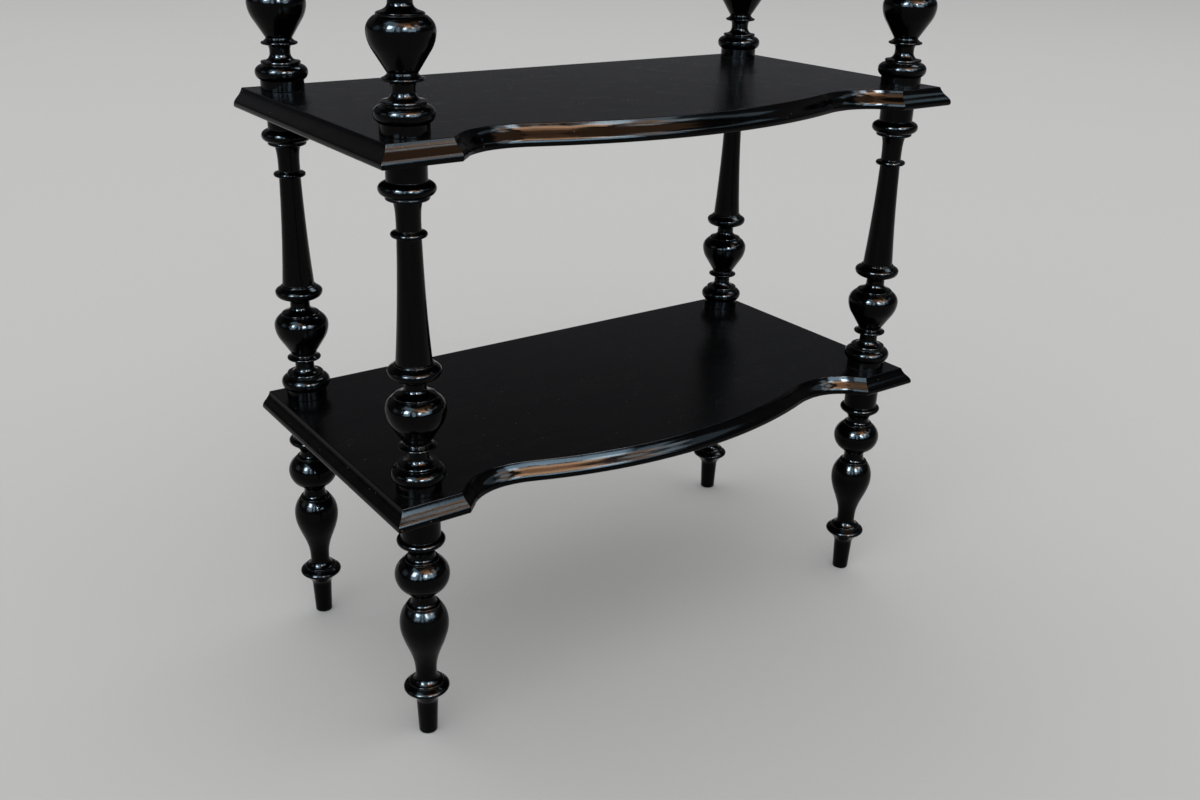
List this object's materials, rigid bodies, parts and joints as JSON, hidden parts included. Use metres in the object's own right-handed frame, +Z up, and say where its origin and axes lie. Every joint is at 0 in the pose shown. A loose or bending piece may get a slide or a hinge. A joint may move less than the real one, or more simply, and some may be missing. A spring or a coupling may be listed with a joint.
{
  "type": "etagere",
  "caption": "Free-standing open display stand with bow-fronted moulded shelves on turned legs and columns, topped by turned finials.",
  "frame": {"origin": "on the floor, under the middle of the bounding box", "axes": "+X to the viewer's right along the shelves, -Y to the bowed front, +Z up"},
  "size_m": [0.682, 0.3437, 1.0434],
  "materials": {
    "ebonised_board": "black stained hardwood board, worn satin polish",
    "ebonised_turning": "black stained turned hardwood, glossy polish"
  },
  "bodies": {
    "root": {"lower_shelf": "ebonised_board", "middle_shelf": "ebonised_board", "top_shelf": "ebonised_board", "leg_front_left": "ebonised_turning", "leg_front_right": "ebonised_turning", "leg_back_left": "ebonised_turning", "leg_back_right": "ebonised_turning", "lower_column_front_left": "ebonised_turning", "lower_column_front_right": "ebonised_turning", "lower_column_back_left": "ebonised_turning", "lower_column_back_right": "ebonised_turning", "upper_column_front_left": "ebonised_turning", "upper_column_front_right": "ebonised_turning", "upper_column_back_left": "ebonised_turning", "upper_column_back_right": "ebonised_turning", "finial_front_left": "ebonised_turning", "finial_front_right": "ebonised_turning", "finial_back_left": "ebonised_turning", "finial_back_right": "ebonised_turning"}
  },
  "joints": []
}
